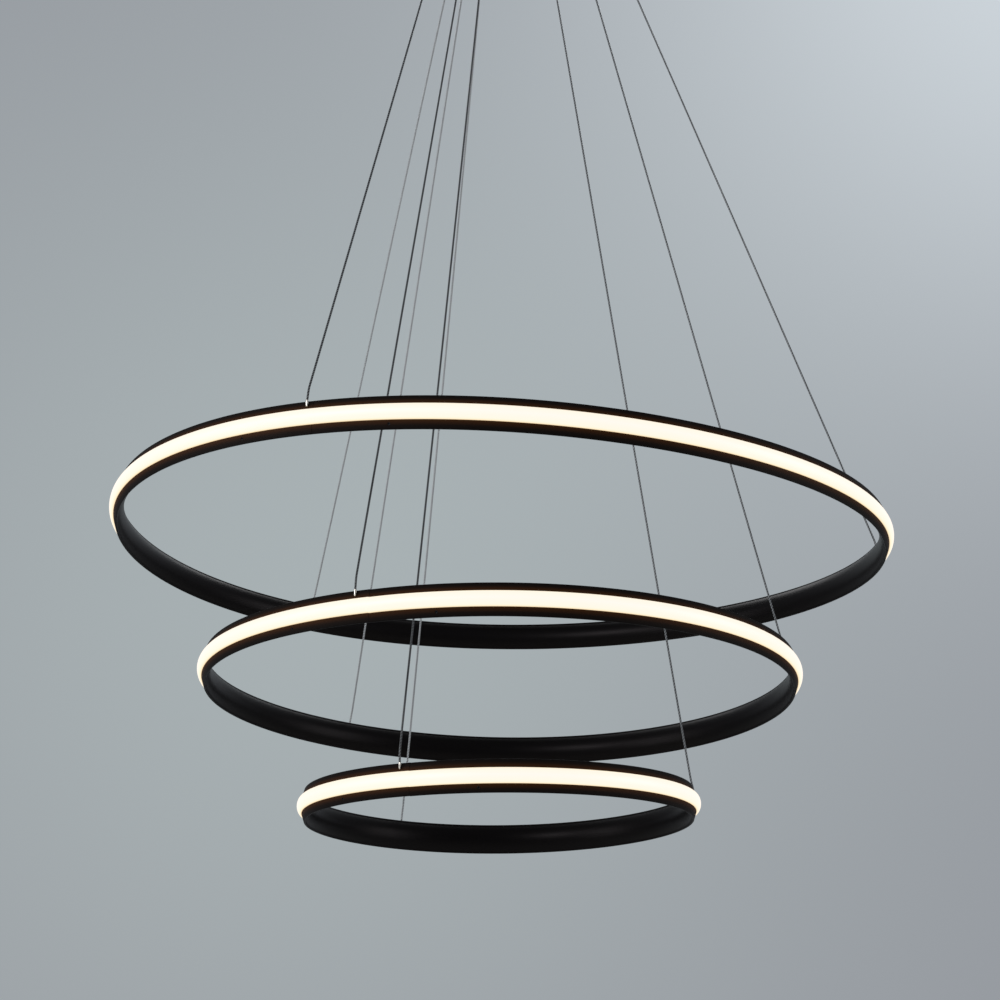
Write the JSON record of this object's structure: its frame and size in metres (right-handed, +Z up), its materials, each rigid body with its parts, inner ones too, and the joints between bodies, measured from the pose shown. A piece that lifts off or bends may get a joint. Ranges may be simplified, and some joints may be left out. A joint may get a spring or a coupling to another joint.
{
  "type": "led ring chandelier",
  "caption": "Ceiling light of stacked LED rings in falling sizes, each hung on thin taut wires from a round canopy, with opal light bands facing outward.",
  "frame": {"origin": "centre of the mounting bracket's top face, on the ceiling plane", "axes": "+Z up towards the ceiling, so the light hangs towards -Z; +X towards the first wire of every ring and along the bracket's slots"},
  "size_m": [0.7998, 0.7999, 1.1133],
  "materials": {
    "anodised_aluminium": "extruded, bent and anodised dark bronze, nearly black, satin",
    "opal_silicone": "milky extruded silicone, lit warm white from behind",
    "strip_board": "white solder-masked flexible board with LEDs",
    "zinc_steel": "zinc-plated pressed and turned steel",
    "nickel": "turned brass plated with satin nickel",
    "wire_jacket": "clear jacket drawn over a fine twisted steel wire",
    "canopy_paint": "spun steel with fine matt black powder coat",
    "driver_case": "moulded white polycarbonate",
    "terminal_nylon": "moulded natural nylon",
    "rubber_black": "moulded black rubber"
  },
  "bodies": {
    "canopy": {"mounting_bracket": "zinc_steel", "canopy_cup": "canopy_paint", "canopy_side_screws": "nickel", "cable_bush": "rubber_black", "led_driver_front": "driver_case", "led_driver_back": "driver_case", "driver_screws": "zinc_steel", "terminal_block": "terminal_nylon", "terminal_screws": "zinc_steel", "earth_screw": "zinc_steel", "gripper_bodies": "nickel", "gripper_nuts": "nickel"},
    "large_ring": {"large_ring_profile": "anodised_aluminium", "large_ring_diffuser": "opal_silicone", "large_light_strip": "strip_board", "large_ring_joiner": "zinc_steel", "large_joint_screws": "zinc_steel", "large_wire_hooks": "nickel", "large_wire_1": "wire_jacket", "large_wire_2": "wire_jacket", "large_wire_3": "wire_jacket"},
    "medium_ring": {"medium_ring_profile": "anodised_aluminium", "medium_ring_diffuser": "opal_silicone", "medium_light_strip": "strip_board", "medium_ring_joiner": "zinc_steel", "medium_joint_screws": "zinc_steel", "medium_wire_hooks": "nickel", "medium_wire_1": "wire_jacket", "medium_wire_2": "wire_jacket", "medium_wire_3": "wire_jacket"},
    "small_ring": {"small_ring_profile": "anodised_aluminium", "small_ring_diffuser": "opal_silicone", "small_light_strip": "strip_board", "small_ring_joiner": "zinc_steel", "small_joint_screws": "zinc_steel", "small_wire_hooks": "nickel", "small_wire_1": "wire_jacket", "small_wire_2": "wire_jacket", "small_wire_3": "wire_jacket"},
    "large_release_1": {"large_plunger_1": "nickel"},
    "large_release_2": {"large_plunger_2": "nickel"},
    "large_release_3": {"large_plunger_3": "nickel"},
    "medium_release_1": {"medium_plunger_1": "nickel"},
    "medium_release_2": {"medium_plunger_2": "nickel"},
    "medium_release_3": {"medium_plunger_3": "nickel"},
    "small_release_1": {"small_plunger_1": "nickel"},
    "small_release_2": {"small_plunger_2": "nickel"},
    "small_release_3": {"small_plunger_3": "nickel"}
  },
  "joints": [
    {"name": "large_height", "type": "slide", "parent": "canopy", "child": "large_ring", "axis": [0, 0, 1], "range_m": [-0.2, 0.2], "deforming": ["large_wire_1", "large_wire_2", "large_wire_3"]},
    {"name": "medium_height", "type": "slide", "parent": "canopy", "child": "medium_ring", "axis": [0, 0, 1], "range_m": [-0.2, 0.2], "deforming": ["medium_wire_1", "medium_wire_2", "medium_wire_3"]},
    {"name": "small_height", "type": "slide", "parent": "canopy", "child": "small_ring", "axis": [0, 0, 1], "range_m": [-0.2, 0.2], "deforming": ["small_wire_1", "small_wire_2", "small_wire_3"]},
    {"name": "large_release_1_press", "type": "slide", "parent": "canopy", "child": "large_release_1", "axis": [0, 0, 1], "range_m": [0, 0.0025], "stiffness_N_per_m": 400, "springref_m": -0.003},
    {"name": "large_release_2_press", "type": "slide", "parent": "canopy", "child": "large_release_2", "axis": [0, 0, 1], "range_m": [0, 0.0025], "stiffness_N_per_m": 400, "springref_m": -0.003},
    {"name": "large_release_3_press", "type": "slide", "parent": "canopy", "child": "large_release_3", "axis": [0, 0, 1], "range_m": [0, 0.0025], "stiffness_N_per_m": 400, "springref_m": -0.003},
    {"name": "medium_release_1_press", "type": "slide", "parent": "canopy", "child": "medium_release_1", "axis": [0, 0, 1], "range_m": [0, 0.0025], "stiffness_N_per_m": 400, "springref_m": -0.003},
    {"name": "medium_release_2_press", "type": "slide", "parent": "canopy", "child": "medium_release_2", "axis": [0, 0, 1], "range_m": [0, 0.0025], "stiffness_N_per_m": 400, "springref_m": -0.003},
    {"name": "medium_release_3_press", "type": "slide", "parent": "canopy", "child": "medium_release_3", "axis": [0, 0, 1], "range_m": [0, 0.0025], "stiffness_N_per_m": 400, "springref_m": -0.003},
    {"name": "small_release_1_press", "type": "slide", "parent": "canopy", "child": "small_release_1", "axis": [0, 0, 1], "range_m": [0, 0.0025], "stiffness_N_per_m": 400, "springref_m": -0.003},
    {"name": "small_release_2_press", "type": "slide", "parent": "canopy", "child": "small_release_2", "axis": [0, 0, 1], "range_m": [0, 0.0025], "stiffness_N_per_m": 400, "springref_m": -0.003},
    {"name": "small_release_3_press", "type": "slide", "parent": "canopy", "child": "small_release_3", "axis": [0, 0, 1], "range_m": [0, 0.0025], "stiffness_N_per_m": 400, "springref_m": -0.003}
  ]
}
